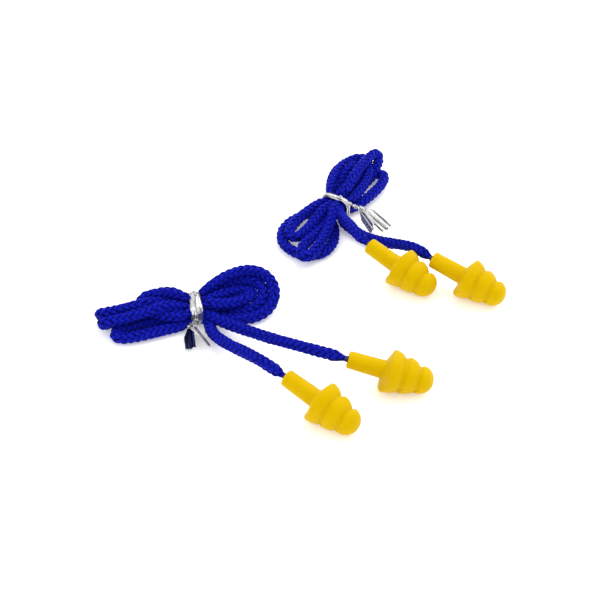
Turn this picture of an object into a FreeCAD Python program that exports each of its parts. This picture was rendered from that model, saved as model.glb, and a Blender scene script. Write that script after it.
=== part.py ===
import FreeCAD, Part
import math
import os

# Two pairs of corded, reusable, three-flange ear plugs, lying on a flat surface as they are sold.
# Each pair is two moulded elastomer plugs on one braided cord. The cord is folded into a hank,
# which a film-covered wire tie holds at its waist. Millimetres, +Z up, surface at Z = 0.

Vec = FreeCAD.Vector
UP = Vec(0, 0, 1)

# ---- the moulded plug, measured along its axis from the stem's mouth to the nose ----
STEM_END_RADIUS = 2.5
STEM_ROOT_RADIUS = 2.7
STEM_LENGTH = 10.4
STEM_EDGE_ROUND = 0.4
RIM_ROUND = 0.35
RIM_FRONT = 72.0  # degrees round the rim at which the slope starts
SLOPE_BULGE = 0.22
# each flange: how far its back cone and its slope run along the axis, its rim and root radius
FLANGES = [
    {"back": 1.9, "rim_radius": 6.35, "slope": 3.5, "root_radius": 4.7},
    {"back": 1.2, "rim_radius": 5.35, "slope": 3.3, "root_radius": 3.55},
    {"back": 1.0, "rim_radius": 4.08},
]
NOSE_LENGTH = 3.5  # from the last rim to the tip
DOME_FLAT = 0.35  # how much of the nose rim runs straight before the dome

# ---- the blind bore in the stem and the fused cord end in it ----
BORE_RADIUS = 1.0
BORE_DEPTH = 8.6
MOUTH_RADIUS = 1.8
MOUTH_DEPTH = 0.9
END_CLEARANCE = 0.05
END_GAP = 0.2
END_CHAMFER = 0.24

# ---- the braided cord ----
CORD_RADIUS = 1.7
NECK_RADIUS = 0.8
NECK_LENGTH = 3.5
ARC_SHARE = 0.45  # share of the shorter run that each arc takes up

# ---- the hank's waist and the tie round it ----
WAIST_HALF_WIDTH = 4.2
WAIST_HEIGHT = 6.4
WAIST_LIFT = 0.85
WAIST_ROUND = 1.9
LOBE_ROUND = 1.4
TIE_WIDTH = 3.6
TIE_FILM = 0.25
TIE_CLEARANCE = 0.05
TIE_CORE_RADIUS = 0.23
TIE_CORE_CLEARANCE = 0.02
TIE_RIB_WALL = 0.14
TWIST_HALF_WIDTH = 0.85
TWIST_HALF_THICKNESS = 0.42
TWIST_STEPS = 10
TWIST_TURN = 300.0
TAIL_GAP = 1.1
TAIL_TAPER_LENGTH = 2.2
TAIL_ROOT_WIDTH = 1.0
LOBE_START = 0.2  # how far past the tie the waist's section runs
ROUND_WIDTH_SHARE = 0.9  # most of a section's half width, and of its height, that a corner takes
ROUND_HEIGHT_SHARE = 0.45

# ---- where the two pairs lie ----
# plugs: mouth position on the plan, heading of the nose, and the cord's points up to the mouth
# hank sections: along the hank from the tie, sideways centre, half width, height
PAIRS = {
    "front": {
        "tie": (-59.1, 12.3),
        "heading": 10.0,
        "plugs": {
            "right": {
                "mouth": (-14.7, -13.9),
                "heading": -10.6,
                "cord": [
                    (-56.6, 10.8, 4.2),
                    (-52.1, 7.2, 3.7),
                    (-45.6, 3.4, 4.1),
                    (-37.6, -2.0, 5.8),
                    (-30.1, -7.2, 8.0),
                    (-22.8, -11.6, 9.7),
                ],
            },
            "left": {
                "mouth": (-32.0, -20.9),
                "heading": -36.5,
                "cord": [
                    (-55.0, 9.6, 1.9),
                    (-54.2, 3.6, 2.4),
                    (-50.2, -2.4, 4.2),
                    (-44.6, -8.8, 7.0),
                    (-38.1, -15.8, 9.6),
                ],
            },
        },
        "lobes": {
            "left": [
                (-5.0, 0.1, 4.4, 6.8),
                (-12.5, 1.1, 6.4, 7.6),
                (-20.6, -1.8, 5.6, 6.6),
                (-25.5, -0.6, 5.4, 6.2),
                (-28.4, 1.0, 3.4, 5.2),
            ],
            "right": [
                (6.3, 1.4, 6.0, 8.0),
                (14.6, 2.4, 7.8, 10.6),
                (20.6, 2.2, 7.0, 9.6),
                (24.6, 2.4, 4.0, 6.8),
            ],
        },
        "knot": {
            "along": -1.0,
            "height": 2.2,
            "heading": -125.0,
            "pitch": -2.0,
            "length": 1.8,
        },
        "tails": {
            "near": {"heading": -82.0, "pitch": -2.0, "roll": 35.0, "length": 8.0, "offset": -0.7},
            "far": {"heading": -58.0, "pitch": -0.5, "roll": -60.0, "length": 8.6, "offset": 0.9},
        },
    },
    "back": {
        "tie": (-16.5, 60.6),
        "heading": 60.0,
        "plugs": {
            "left": {
                "mouth": (-6.9, 35.2),
                "heading": -38.3,
                "cord": [
                    (-15.8, 56.9, 5.0),
                    (-15.0, 51.8, 6.4),
                    (-12.6, 46.0, 8.2),
                    (-10.8, 40.2, 9.5),
                ],
            },
            "right": {
                "mouth": (12.0, 28.8),
                "heading": -30.4,
                "cord": [
                    (-15.6, 56.3, 1.9),
                    (-11.6, 51.4, 1.8),
                    (-7.0, 46.8, 2.0),
                    (-2.0, 42.4, 3.8),
                    (2.8, 38.8, 6.2),
                    (7.7, 34.2, 8.7),
                ],
            },
        },
        "lobes": {
            "left": [
                (-8.0, 1.9, 6.2, 7.0),
                (-16.0, 0.9, 9.2, 7.0),
                (-22.1, -1.2, 7.6, 6.4),
                (-27.6, -4.6, 3.2, 5.0),
            ],
            "right": [
                (8.1, -0.2, 7.4, 8.0),
                (16.1, -0.3, 8.8, 9.0),
                (23.0, 1.2, 6.6, 8.4),
                (28.4, 1.5, 3.6, 6.4),
            ],
        },
        "knot": {
            "along": 0.0,
            "height": 5.4,
            "heading": -8.0,
            "pitch": -8.0,
            "length": 4.2,
        },
        "tails": {
            "near": {"heading": -52.0, "pitch": -5.0, "roll": 20.0, "length": 11.0, "offset": 0.9},
            "far": {"heading": -66.0, "pitch": -3.0, "roll": 70.0, "length": 9.0, "offset": -0.8},
        },
    },
}

FIRST_RIM = STEM_LENGTH + FLANGES[0]["back"]
NOSE_DOWN = math.degrees(
    math.atan2(
        FLANGES[0]["rim_radius"] - FLANGES[1]["rim_radius"],
        FLANGES[0]["slope"] + FLANGES[1]["back"],
    )
)


def mouth_height():
    """Height of the stem's mouth when the first two rims rest on the surface."""
    pitch = math.radians(NOSE_DOWN)
    centre_radius = FLANGES[0]["rim_radius"] - RIM_ROUND
    return FIRST_RIM * math.sin(pitch) + centre_radius * math.cos(pitch) + RIM_ROUND


def direction(heading, pitch=0.0):
    """Unit vector: heading is about +Z from +X, pitch is above the surface."""
    h = math.radians(heading)
    p = math.radians(pitch)
    return Vec(math.cos(h) * math.cos(p), math.sin(h) * math.cos(p), math.sin(p))


def placed(shape, origin, heading, pitch=0.0, roll=0.0):
    """The shape moved from its own frame, where +X is forward, to a place and direction."""
    turn = FreeCAD.Rotation(UP, heading)
    turn = turn.multiply(FreeCAD.Rotation(Vec(0, 1, 0), -pitch))
    turn = turn.multiply(FreeCAD.Rotation(Vec(1, 0, 0), roll))
    result = shape.copy()
    result.Placement = FreeCAD.Placement(origin, turn)
    return result


# ---- plug ----


def tangent_angle(point, centre, radius):
    """Angle on a circle of the tangent point seen from an outside point on its back side."""
    along = centre[0] - point[0]
    out = centre[1] - point[1]
    distance = math.hypot(along, out)
    return math.atan2(-out, -along) - math.acos(radius / distance)


def on_circle(centre, radius, angle):
    return (centre[0] + radius * math.cos(angle), centre[1] + radius * math.sin(angle))


def plug_point(along, out):
    return Vec(along, 0, out)


def line(a, b):
    return Part.LineSegment(plug_point(*a), plug_point(*b)).toShape()


def arc(a, b, c):
    return Part.Arc(plug_point(*a), plug_point(*b), plug_point(*c)).toShape()


def flange_edges(start, flange):
    """The back cone, the rounded rim and, but for the nose, the bulging slope of one flange."""
    centre = (start[0] + flange["back"], flange["rim_radius"] - RIM_ROUND)
    back = tangent_angle(start, centre, RIM_ROUND)
    front = math.radians(RIM_FRONT)
    rim_start = on_circle(centre, RIM_ROUND, back)
    rim_end = on_circle(centre, RIM_ROUND, front)
    edges = [line(start, rim_start)]
    edges.append(arc(rim_start, on_circle(centre, RIM_ROUND, (back + front) / 2), rim_end))
    if "slope" not in flange:
        return edges, rim_end
    end = (centre[0] + flange["slope"], flange["root_radius"])
    along = end[0] - rim_end[0]
    out = end[1] - rim_end[1]
    span = math.hypot(along, out)
    bulge = (
        (rim_end[0] + end[0]) / 2 - SLOPE_BULGE * out / span,
        (rim_end[1] + end[1]) / 2 + SLOPE_BULGE * along / span,
    )
    edges.append(arc(rim_end, bulge, end))
    return edges, end


def dome_edge(start, tip):
    """The round nose: part of a circle centred on the axis."""
    centre = (tip**2 - start[0] ** 2 - start[1] ** 2) / (2 * (tip - start[0]))
    radius = tip - centre
    half = math.atan2(start[1], start[0] - centre) / 2
    return arc(start, on_circle((centre, 0), radius, half), (tip, 0))


def plug_solid():
    edges = []
    edge_start = (0, STEM_END_RADIUS - STEM_EDGE_ROUND)
    edge_end = (STEM_EDGE_ROUND, STEM_END_RADIUS)
    round_centre = (STEM_EDGE_ROUND, STEM_END_RADIUS - STEM_EDGE_ROUND)
    edges.append(line((0, 0), edge_start))
    edge_middle = on_circle(round_centre, STEM_EDGE_ROUND, math.radians(135))
    edges.append(arc(edge_start, edge_middle, edge_end))
    point = (STEM_LENGTH, STEM_ROOT_RADIUS)
    edges.append(line(edge_end, point))
    for flange in FLANGES:
        last_rim = point[0] + flange["back"]
        flange_part, point = flange_edges(point, flange)
        edges.extend(flange_part)
    tip = last_rim + NOSE_LENGTH
    dome_start = (point[0] + DOME_FLAT, point[1])
    edges.append(line(point, dome_start))
    edges.append(dome_edge(dome_start, tip))
    edges.append(line((tip, 0), (0, 0)))
    outline = Part.Face(Part.Wire(edges))
    body = outline.revolve(Vec(0, 0, 0), Vec(1, 0, 0), 360)
    bore = Part.makeCylinder(BORE_RADIUS, BORE_DEPTH, Vec(0, 0, 0), Vec(1, 0, 0))
    flare = Part.makeCone(MOUTH_RADIUS, BORE_RADIUS, MOUTH_DEPTH, Vec(0, 0, 0), Vec(1, 0, 0))
    return body.cut(bore).cut(flare)


def cord_end_solid():
    """The fused end of the cord, held in the stem's bore."""
    radius = BORE_RADIUS - END_CLEARANCE
    start = NECK_RADIUS + END_GAP
    length = BORE_DEPTH - END_GAP - start
    rod = Part.makeCylinder(radius, length, Vec(start, 0, 0), Vec(1, 0, 0))
    return rod.makeChamfer(END_CHAMFER, rod.Edges)


# ---- cord ----


def cord_path(points, end):
    """Straight runs joined by arcs as large as the runs allow, up to an end on the last run."""
    edges = []
    radii = []
    start = points[0]
    for before, corner, after in zip(points, points[1:], points[2:]):
        run_in = corner - before
        run_out = after - corner
        turn = run_in.getAngle(run_out)
        reach = ARC_SHARE * min(run_in.Length, run_out.Length)
        radii.append(reach / math.tan(turn / 2))
        into = Vec(run_in).normalize()
        out = Vec(run_out).normalize()
        arc_start = corner - into * reach
        arc_end = corner + out * reach
        inward = Vec(out - into).normalize()
        sagitta = radii[-1] / math.cos(turn / 2) - radii[-1]
        edges.append(Part.LineSegment(start, arc_start).toShape())
        edges.append(Part.Arc(arc_start, corner + inward * sagitta, arc_end).toShape())
        start = arc_end
    edges.append(Part.LineSegment(start, end).toShape())
    return Part.Wire(edges), radii


def swept_circle(path, start, along, radius):
    ring = Part.Wire(Part.Circle(start, along, radius).toShape())
    return path.makePipeShell([ring], True, False, 2)


def lead_solid(points, name):
    """One free lead of the cord, from the hank to the ball of its thin neck in the stem's mouth."""
    mouth = points[-1]
    last = Vec(points[-1] - points[-2]).normalize()
    neck_start = mouth - last * NECK_LENGTH
    path, radii = cord_path(points, neck_start)
    first = Vec(points[1] - points[0]).normalize()
    tube = swept_circle(path, points[0], first, CORD_RADIUS)
    share = tube.Volume / (math.pi * CORD_RADIUS**2 * path.Length)
    neck = Part.makeCone(CORD_RADIUS, NECK_RADIUS, NECK_LENGTH, neck_start, last)
    ball = Part.makeSphere(NECK_RADIUS, mouth)
    print(f"{name}: length {path.Length + NECK_LENGTH:.1f} mm, volume share {share:.4f}")
    print(f"{name}: arc radii " + ", ".join(f"{r:.1f}" for r in radii))
    return tube.fuse([neck, ball]).removeSplitter()


# ---- hank ----


def rounded_section(station, sideways, half_width, low, high, rounding):
    """A closed rounded rectangle across the hank, in the tie's frame."""
    radius = min(rounding, half_width * ROUND_WIDTH_SHARE, (high - low) * ROUND_HEIGHT_SHARE)
    y = (sideways - half_width, sideways + half_width)
    edges = []
    corners = [
        (y[1] - radius, low + radius, -90.0),
        (y[1] - radius, high - radius, 0.0),
        (y[0] + radius, high - radius, 90.0),
        (y[0] + radius, low + radius, 180.0),
    ]
    ends = []
    for cy, cz, angle in corners:
        spots = []
        for step in (0.0, 45.0, 90.0):
            a = math.radians(angle + step)
            spots.append(Vec(station, cy + radius * math.cos(a), cz + radius * math.sin(a)))
        ends.append(spots)
    for index, spots in enumerate(ends):
        edges.append(Part.Arc(*spots).toShape())
        following = ends[(index + 1) % len(ends)]
        edges.append(Part.LineSegment(spots[2], following[0]).toShape())
    return Part.Wire(edges)


def lobe_solid(sections):
    """Half of the hank's outer shape, from the middle of the tie to the ends of its loops."""
    top = WAIST_LIFT + WAIST_HEIGHT
    rings = [rounded_section(0.0, 0.0, WAIST_HALF_WIDTH, WAIST_LIFT, top, WAIST_ROUND)]
    edge = math.copysign(TIE_WIDTH / 2 + LOBE_START, sections[0][0])
    rings.append(rounded_section(edge, 0.0, WAIST_HALF_WIDTH, WAIST_LIFT, top, WAIST_ROUND))
    for station, sideways, half_width, height in sections:
        rings.append(rounded_section(station, sideways, half_width, 0.0, height, LOBE_ROUND))
    return Part.makeLoft(rings, True, True)


# ---- tie ----


def loop_wire(grow, station):
    """The waist's outline, grown evenly."""
    top = WAIST_LIFT + WAIST_HEIGHT + grow
    return rounded_section(
        station, 0.0, WAIST_HALF_WIDTH + grow, WAIST_LIFT - grow, top, WAIST_ROUND + grow
    )


def tie_band_solids():
    """The film band round the waist, with a rib over its wire core, and the core."""
    inner = TIE_CLEARANCE
    outer = inner + TIE_FILM
    half = TIE_WIDTH / 2
    shell = Part.Face(loop_wire(outer, -half)).extrude(Vec(TIE_WIDTH, 0, 0))
    hole = Part.Face(loop_wire(inner, -half)).extrude(Vec(TIE_WIDTH, 0, 0))
    band = shell.cut(hole)
    rib_radius = TIE_CORE_RADIUS + TIE_CORE_CLEARANCE + TIE_RIB_WALL
    path = loop_wire(inner + rib_radius, 0.0)
    start = path.Edges[0].valueAt(path.Edges[0].FirstParameter)
    along = path.Edges[0].tangentAt(path.Edges[0].FirstParameter)
    rib = swept_circle(path, start, along, rib_radius)
    channel = swept_circle(path, start, along, TIE_CORE_RADIUS + TIE_CORE_CLEARANCE)
    core = swept_circle(path, start, along, TIE_CORE_RADIUS)
    band = band.fuse(rib).cut(channel)
    return band, core


def twist_solid(length):
    """The twisted part of the tie, along +X from the band."""
    rings = []
    for step in range(TWIST_STEPS + 1):
        share = step / TWIST_STEPS
        turn = math.radians(TWIST_TURN * share)
        corners = []
        for a, b in ((1, 1), (-1, 1), (-1, -1), (1, -1)):
            y = a * TWIST_HALF_WIDTH
            z = b * TWIST_HALF_THICKNESS
            corners.append(
                Vec(
                    length * share,
                    y * math.cos(turn) - z * math.sin(turn),
                    y * math.sin(turn) + z * math.cos(turn),
                )
            )
        rings.append(Part.makePolygon(corners + [corners[0]]))
    return Part.makeLoft(rings, True, True)


def tail_solids(length):
    """One flat tail of the tie along +X, its film strip and its wire core."""
    half = TIE_WIDTH / 2
    root = TAIL_ROOT_WIDTH / 2
    outline = [
        Vec(0, -root, 0),
        Vec(TAIL_TAPER_LENGTH, -half, 0),
        Vec(length, -half, 0),
        Vec(length, half, 0),
        Vec(TAIL_TAPER_LENGTH, half, 0),
        Vec(0, root, 0),
    ]
    strip = Part.Face(Part.makePolygon(outline + [outline[0]])).extrude(Vec(0, 0, TIE_FILM))
    strip.translate(Vec(0, 0, -TIE_FILM / 2))
    rib_radius = TIE_CORE_RADIUS + TIE_CORE_CLEARANCE + TIE_RIB_WALL
    rib = Part.makeCylinder(rib_radius, length, Vec(0, 0, 0), Vec(1, 0, 0))
    channel = Part.makeCylinder(
        TIE_CORE_RADIUS + TIE_CORE_CLEARANCE, length, Vec(0, 0, 0), Vec(1, 0, 0)
    )
    core = Part.makeCylinder(TIE_CORE_RADIUS, length, Vec(0, 0, 0), Vec(1, 0, 0))
    return strip.fuse(rib).cut(channel), core


# ---- one pair ----


def build_pair(name, pair):
    """Every piece of one corded pair, by node name."""
    pieces = {}
    tie_centre = Vec(pair["tie"][0], pair["tie"][1], 0)
    lobes = {}
    for side, sections in pair["lobes"].items():
        lobes[side] = placed(lobe_solid(sections), tie_centre, pair["heading"])
        pieces[f"{name}_hank_{side}_lobe"] = lobes[side]

    leads = []
    for side, plug in pair["plugs"].items():
        mouth = Vec(plug["mouth"][0], plug["mouth"][1], mouth_height())
        label = f"{name}_{side}"
        pieces[f"{label}_plug"] = placed(plug_solid(), mouth, plug["heading"], -NOSE_DOWN)
        pieces[f"{label}_cord_end"] = placed(
            cord_end_solid(), mouth, plug["heading"], -NOSE_DOWN
        )
        points = [Vec(*p) for p in plug["cord"]] + [mouth]
        lead = lead_solid(points, f"{label}_cord_lead")
        for lobe in lobes.values():
            lead = lead.cut(lobe)
        for other in leads:
            lead = lead.cut(other)
        lead = max(lead.Solids, key=lambda solid: solid.Volume)
        leads.append(lead)
        pieces[f"{label}_cord_lead"] = lead

    band, core = tie_band_solids()
    pieces[f"{name}_tie_band"] = placed(band, tie_centre, pair["heading"])
    pieces[f"{name}_tie_band_core"] = placed(core, tie_centre, pair["heading"])

    knot = pair["knot"]
    reach = WAIST_HALF_WIDTH + TIE_CLEARANCE + TIE_FILM
    sideways = direction(pair["heading"] - 90.0)
    knot_start = tie_centre + sideways * reach + UP * knot["height"]
    knot_start = knot_start + direction(pair["heading"]) * knot["along"]
    twist = placed(twist_solid(knot["length"]), knot_start, knot["heading"], knot["pitch"])
    twist = twist.cut(pieces[f"{name}_tie_band"])
    pieces[f"{name}_tie_twist"] = max(twist.Solids, key=lambda solid: solid.Volume)

    knot_end = knot_start + direction(knot["heading"], knot["pitch"]) * knot["length"]
    for side, tail in pair["tails"].items():
        across = direction(tail["heading"] + 90.0)
        start = knot_end + direction(tail["heading"]) * TAIL_GAP + across * tail["offset"]
        film, wire = tail_solids(tail["length"])
        place = (start, tail["heading"], tail["pitch"], tail["roll"])
        pieces[f"{name}_tie_{side}_tail"] = placed(film, *place)
        pieces[f"{name}_tie_{side}_tail_core"] = placed(wire, *place)
    return pieces


def main():
    os.makedirs("parts", exist_ok=True)
    nodes = {}
    for name, pair in PAIRS.items():
        nodes.update(build_pair(name, pair))
    for name, shape in nodes.items():
        box = shape.optimalBoundingBox()
        low = ", ".join(f"{v:.2f}" for v in (box.XMin, box.YMin, box.ZMin))
        high = ", ".join(f"{v:.2f}" for v in (box.XMax, box.YMax, box.ZMax))
        valid = shape.isValid() and len(shape.Solids) == 1
        print(f"{name}: solids {len(shape.Solids)} valid {valid} box {low} to {high}")
        shape.exportStep(f"parts/{name}.step")
    print(f"stem mouth height {mouth_height():.3f}, nose down {NOSE_DOWN:.2f} degrees")


main()
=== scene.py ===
import bpy
import math
import numpy as np
from mathutils import Matrix, Vector, noise


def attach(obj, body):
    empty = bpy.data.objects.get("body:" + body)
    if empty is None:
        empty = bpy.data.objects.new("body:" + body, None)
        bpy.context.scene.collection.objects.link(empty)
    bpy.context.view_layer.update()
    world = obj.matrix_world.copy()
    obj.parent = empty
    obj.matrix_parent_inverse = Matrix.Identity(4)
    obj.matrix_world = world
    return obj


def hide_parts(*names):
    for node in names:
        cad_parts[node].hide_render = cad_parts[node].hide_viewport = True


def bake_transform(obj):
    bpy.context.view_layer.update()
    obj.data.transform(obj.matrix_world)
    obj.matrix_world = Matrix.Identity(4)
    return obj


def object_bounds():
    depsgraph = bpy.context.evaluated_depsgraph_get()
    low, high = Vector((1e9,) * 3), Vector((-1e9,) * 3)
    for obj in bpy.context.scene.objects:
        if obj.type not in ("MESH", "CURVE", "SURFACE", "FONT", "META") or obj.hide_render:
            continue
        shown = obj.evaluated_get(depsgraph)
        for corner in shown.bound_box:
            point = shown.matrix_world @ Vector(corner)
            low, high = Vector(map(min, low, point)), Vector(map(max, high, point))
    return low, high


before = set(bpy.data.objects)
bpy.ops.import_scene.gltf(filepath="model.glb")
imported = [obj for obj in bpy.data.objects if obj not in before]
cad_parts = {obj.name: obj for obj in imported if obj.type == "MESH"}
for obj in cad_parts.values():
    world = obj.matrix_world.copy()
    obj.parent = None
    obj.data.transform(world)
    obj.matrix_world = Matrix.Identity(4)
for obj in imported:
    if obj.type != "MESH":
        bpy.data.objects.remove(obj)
cadBounds = [list(corner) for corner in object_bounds()]

mm = 0.001
cadLow = Vector(cadBounds[0])
cadHigh = Vector(cadBounds[1])

# camera
cameraSetup = {
    "aimFromMiddle": (-0.0010, -0.0053),  # from the middle of the object's plan
    "elevation": 42.73,
    "distance": 0.4082,
    "lens": 80.93,
}


def makeCamera():
    middle = (cadLow + cadHigh) / 2
    aim = Vector((middle.x + cameraSetup["aimFromMiddle"][0],
                  middle.y + cameraSetup["aimFromMiddle"][1], 0.0))
    rise = math.radians(cameraSetup["elevation"])
    back = Vector((0.0, -math.cos(rise), math.sin(rise)))
    data = bpy.data.cameras.new("viewCamera")
    data.lens = cameraSetup["lens"]
    camera = bpy.data.objects.new("viewCamera", data)
    camera.location = aim + back * cameraSetup["distance"]
    camera.rotation_euler = (-back).to_track_quat("-Z", "Y").to_euler()
    bpy.context.scene.collection.objects.link(camera)
    bpy.context.scene.camera = camera
    print("camera ready, aimed at", [round(v, 4) for v in aim])


makeCamera()


# small helpers
def addPiece(name, points, faces, material, smooth=True):
    mesh = bpy.data.meshes.new(name)
    mesh.from_pydata([tuple(p) for p in points], [], faces)
    mesh.update()
    if smooth:
        mesh.polygons.foreach_set("use_smooth", [True] * len(mesh.polygons))
    mesh.materials.append(material)
    piece = bpy.data.objects.new(name, mesh)
    bpy.context.scene.collection.objects.link(piece)
    return piece


def ringFaces(ringCount, ringSize, start=0, closed=False):
    faces = []
    last = ringCount if closed else ringCount - 1
    for ring in range(last):
        a = start + ring * ringSize
        b = start + ((ring + 1) % ringCount) * ringSize
        for k in range(ringSize):
            n = (k + 1) % ringSize
            faces.append((a + k, a + n, b + n, b + k))
    return faces


def endCaps(ringCount, ringSize, start=0):
    # flat faces over the first and the last ring
    last = start + (ringCount - 1) * ringSize
    return [tuple(range(start + ringSize - 1, start - 1, -1)), tuple(range(last, last + ringSize))]


def ringAngles(count):
    return np.arange(count) * 2 * math.pi / count


def unitRows(rows):
    return rows / np.linalg.norm(rows, axis=1)[:, None]


def smoothStep(value, low, high):
    t = np.clip((value - low) / (high - low), 0.0, 1.0)
    return t * t * (3 - 2 * t)


# shared shader groups
def newGroup(name, inputs, outputs):
    group = bpy.data.node_groups.new(name, "ShaderNodeTree")
    for label, kind, value in inputs:
        socket = group.interface.new_socket(label, in_out="INPUT", socket_type=kind)
        socket.default_value = value
    for label, kind in outputs:
        group.interface.new_socket(label, in_out="OUTPUT", socket_type=kind)
    return group, group.nodes.new("NodeGroupInput"), group.nodes.new("NodeGroupOutput")


def setInputs(node, values):
    for label, value in values.items():
        node.inputs[label.replace("_", " ")].default_value = value


def addNode(nodes, kind, **values):
    node = nodes.new(kind)
    setInputs(node, values)
    return node


def addMath(nodes, operation, **values):
    node = nodes.new("ShaderNodeMath")
    node.operation = operation
    for place, value in values.items():
        node.inputs[("first", "second", "third").index(place)].default_value = value
    return node


def mixTones(links, nodes, given, low, high, amount, result):
    mix = nodes.new("ShaderNodeMix")
    mix.data_type = "RGBA"
    links.new(amount, mix.inputs["Factor"])
    links.new(given.outputs[low], mix.inputs["A"])
    links.new(given.outputs[high], mix.inputs["B"])
    links.new(mix.outputs["Result"], result.inputs["Color"])


def makeUnevenToneGroup():
    # soft uneven colour and a fine grain, in the object's own space
    group, given, result = newGroup("unevenTone", [
        ("Light Tone", "NodeSocketColor", (1, 1, 1, 1)),
        ("Dark Tone", "NodeSocketColor", (0, 0, 0, 1)),
        ("Patch Scale", "NodeSocketFloat", 200.0),
        ("Grain Scale", "NodeSocketFloat", 4000.0),
        ("Contrast", "NodeSocketFloat", 0.5),
    ], [("Color", "NodeSocketColor"), ("Patches", "NodeSocketFloat"), ("Grain", "NodeSocketFloat")])
    nodes, links = group.nodes, group.links
    place = nodes.new("ShaderNodeTexCoord")
    patches = addNode(nodes, "ShaderNodeTexNoise", Detail=3.0)
    grain = addNode(nodes, "ShaderNodeTexNoise", Detail=2.0)
    links.new(place.outputs["Object"], patches.inputs["Vector"])
    links.new(place.outputs["Object"], grain.inputs["Vector"])
    links.new(given.outputs["Patch Scale"], patches.inputs["Scale"])
    links.new(given.outputs["Grain Scale"], grain.inputs["Scale"])
    share = addMath(nodes, "MULTIPLY")
    links.new(patches.outputs["Fac"], share.inputs[0])
    links.new(given.outputs["Contrast"], share.inputs[1])
    mixTones(links, nodes, given, "Light Tone", "Dark Tone", share.outputs[0], result)
    links.new(patches.outputs["Fac"], result.inputs["Patches"])
    links.new(grain.outputs["Fac"], result.inputs["Grain"])
    return group


def makeFilamentGroup():
    # fine filaments that run along a strand, from the strand's own coordinates, mixed with painted
    # shade: darker where a strand passes under others or faces inward, lighter on its top
    group, given, result = newGroup("yarnFilaments", [
        ("Lit Tone", "NodeSocketColor", (1, 1, 1, 1)),
        ("Deep Tone", "NodeSocketColor", (0, 0, 0, 1)),
        ("Fineness", "NodeSocketFloat", 9.0),
    ], [("Color", "NodeSocketColor"), ("Filaments", "NodeSocketFloat")])
    nodes, links = group.nodes, group.links
    yarn = nodes.new("ShaderNodeAttribute")
    yarn.attribute_name = "yarn"
    lift = nodes.new("ShaderNodeAttribute")
    lift.attribute_name = "yarnCrownShade"
    filaments = addNode(nodes, "ShaderNodeTexNoise", Detail=3.0, Roughness=0.65)
    links.new(yarn.outputs["Vector"], filaments.inputs["Vector"])
    links.new(given.outputs["Fineness"], filaments.inputs["Scale"])
    sharpen = addNode(nodes, "ShaderNodeMapRange", From_Min=0.32, From_Max=0.68)
    links.new(filaments.outputs["Fac"], sharpen.inputs["Value"])
    both = addMath(nodes, "MULTIPLY_ADD", second=0.25)  # the filaments' share beside the crown's painted light and shade
    both.use_clamp = True
    links.new(sharpen.outputs["Result"], both.inputs[0])
    links.new(lift.outputs["Fac"], both.inputs[2])
    mixTones(links, nodes, given, "Deep Tone", "Lit Tone", both.outputs[0], result)
    links.new(sharpen.outputs["Result"], result.inputs["Filaments"])
    return group


def makeStreakGroup():
    # light and dark bands of painted reflection that run along a creased strip, from the strip's
    # own coordinates
    group, given, result = newGroup("filmStreaks", [
        ("Light Tone", "NodeSocketColor", (1, 1, 1, 1)),
        ("Dark Tone", "NodeSocketColor", (0, 0, 0, 1)),
        ("Streak Scale", "NodeSocketFloat", 1.0),
        ("Dark Share", "NodeSocketFloat", 0.4),
    ], [("Color", "NodeSocketColor"), ("Streaks", "NodeSocketFloat")])
    nodes, links = group.nodes, group.links
    strip = nodes.new("ShaderNodeAttribute")
    strip.attribute_name = "film"
    streaks = addNode(nodes, "ShaderNodeTexNoise", Detail=4.0, Roughness=0.7)
    links.new(strip.outputs["Vector"], streaks.inputs["Vector"])
    links.new(given.outputs["Streak Scale"], streaks.inputs["Scale"])
    edge = addMath(nodes, "SUBTRACT")
    links.new(streaks.outputs["Fac"], edge.inputs[0])
    links.new(given.outputs["Dark Share"], edge.inputs[1])
    sharpen = addMath(nodes, "MULTIPLY_ADD", second=7.0, third=0.5)  # steep, round the middle tone
    sharpen.use_clamp = True
    links.new(edge.outputs[0], sharpen.inputs[0])
    mixTones(links, nodes, given, "Dark Tone", "Light Tone", sharpen.outputs[0], result)
    links.new(streaks.outputs["Fac"], result.inputs["Streaks"])
    return group


unevenTone = makeUnevenToneGroup()
yarnFilaments = makeFilamentGroup()
filmStreaks = makeStreakGroup()


def newMaterial(name):
    material = bpy.data.materials.new(name)
    material.use_nodes = True
    shader = material.node_tree.nodes["Principled BSDF"]
    return material, material.node_tree.nodes, material.node_tree.links, shader


def useGroup(nodes, group, **values):
    node = nodes.new("ShaderNodeGroup")
    node.node_tree = group
    setInputs(node, values)
    return node


def useUnevenTone(nodes, finish):
    return useGroup(nodes, unevenTone, Light_Tone=finish["light"], Dark_Tone=finish["dark"],
                    Patch_Scale=finish["patches"], Grain_Scale=finish["grains"],
                    Contrast=finish["contrast"])


def addBump(nodes, links, shader, height, finish):
    strength, depth = finish["bump"]
    bump = addNode(nodes, "ShaderNodeBump", Strength=strength, Distance=depth)
    links.new(height, bump.inputs["Height"])
    links.new(bump.outputs["Normal"], shader.inputs["Normal"])


def addRoughness(nodes, links, shader, value, finish):
    low, high = finish["roughness"]
    spread = addNode(nodes, "ShaderNodeMapRange", To_Min=low, To_Max=high)
    links.new(value, spread.inputs["Value"])
    links.new(spread.outputs["Result"], shader.inputs["Roughness"])


# moulded elastomer
elastomer = {
    "light": (0.615, 0.408, 0.0008, 1),
    "dark": (0.540, 0.325, 0.0005, 1),
    "patches": 160.0,  # noise scale in metres, and the same for the grains
    "grains": 5200.0,
    "contrast": 0.7,
    "roughness": (0.45, 0.62),
    "bump": (0.15, 0.00005),  # strength and depth
    "scatter": 0.2,
    "scatterColours": (1.0, 0.6, 0.05),
    "scatterReach": 0.0010,
    "highlight": 0.12,
    "highlightTint": (1.0, 0.78, 0.05, 1),
}


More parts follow.
